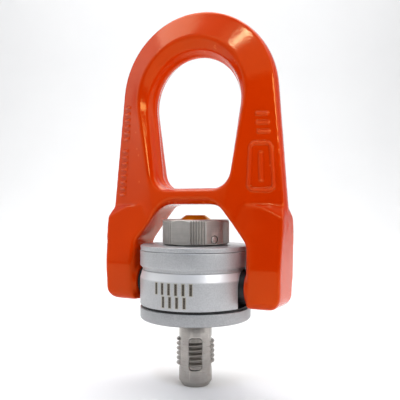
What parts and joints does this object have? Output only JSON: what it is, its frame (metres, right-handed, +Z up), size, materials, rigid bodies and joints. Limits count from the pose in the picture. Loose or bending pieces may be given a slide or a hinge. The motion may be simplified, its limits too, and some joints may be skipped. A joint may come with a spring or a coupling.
{
  "type": "swivel hoist ring",
  "caption": "Double-swivel lifting ring: forged ring on trunnions in a turning body, on a stud with push-button expanding thread.",
  "frame": {"origin": "stud axis at the seating face (underside of the base flange)", "axes": "+Z up along the stud towards the ring, X along the trunnions the ring tilts on, Y across the ring's thickness"},
  "size_m": [0.08, 0.0462, 0.1559],
  "materials": {
    "orange_paint": "glossy powder coat over a forged surface",
    "zinc": "matt zinc plating",
    "stainless": "turned stainless steel",
    "bronze_button": "orange anodised",
    "dark_washer": "dark slide plastic",
    "black_sleeve": "blackened bearing sleeve",
    "bearing": "plain bearing bronze",
    "spring_steel": "spring wire"
  },
  "bodies": {
    "stud_base": {"expanding_stud": "stainless", "hex_grip_ring": "stainless", "grip_pin_front": "stainless", "grip_pin_back": "stainless", "end_plug": "stainless", "base_flange_bush": "zinc", "top_thrust_plate": "zinc", "lower_slide_washer": "dark_washer", "upper_slide_washer": "dark_washer", "stud_retaining_ring": "spring_steel", "segment_ring_upper": "spring_steel", "segment_ring_lower": "spring_steel", "return_spring": "spring_steel"},
    "swivel": {"swivel_body": "zinc", "swivel_bush": "bearing"},
    "ring": {"lifting_ring": "orange_paint", "trunnion_sleeve_left": "black_sleeve", "trunnion_sleeve_right": "black_sleeve"},
    "button": {"push_button": "bronze_button", "pusher_rod": "stainless"},
    "segment_1": {"thread_segment_1": "stainless"},
    "segment_2": {"thread_segment_2": "stainless"},
    "segment_3": {"thread_segment_3": "stainless"},
    "segment_4": {"thread_segment_4": "stainless"}
  },
  "joints": [
    {"name": "body_swivel", "type": "hinge", "parent": "stud_base", "child": "swivel", "pos_m": [0, 0, 0.017], "axis": [0, 0, 1], "continuous": true},
    {"name": "ring_tilt", "type": "hinge", "parent": "swivel", "child": "ring", "pos_m": [0, 0, 0.014], "axis": [1, 0, 0], "range_deg": [-88.4, 91.6]},
    {"name": "button_press", "type": "slide", "parent": "stud_base", "child": "button", "axis": [0, 0, -1], "range_m": [0, 0.0032], "stiffness_N_per_m": 1450, "springref_m": -0.004, "deforming": ["return_spring"]},
    {"name": "segment_1_slide", "type": "slide", "parent": "stud_base", "child": "segment_1", "axis": [-0.8965, -0.4431, 0], "range_m": [0, 0.0012]},
    {"name": "segment_2_slide", "type": "slide", "parent": "stud_base", "child": "segment_2", "axis": [0.4431, -0.8965, 0], "range_m": [0, 0.0012]},
    {"name": "segment_3_slide", "type": "slide", "parent": "stud_base", "child": "segment_3", "axis": [0.8965, 0.4431, 0], "range_m": [0, 0.0012]},
    {"name": "segment_4_slide", "type": "slide", "parent": "stud_base", "child": "segment_4", "axis": [-0.4431, 0.8965, 0], "range_m": [0, 0.0012]}
  ],
  "couplings": [
    {"joint": "segment_1_slide", "follows": "button_press", "ratio": 0.375},
    {"joint": "segment_2_slide", "follows": "button_press", "ratio": 0.375},
    {"joint": "segment_3_slide", "follows": "button_press", "ratio": 0.375},
    {"joint": "segment_4_slide", "follows": "button_press", "ratio": 0.375}
  ]
}
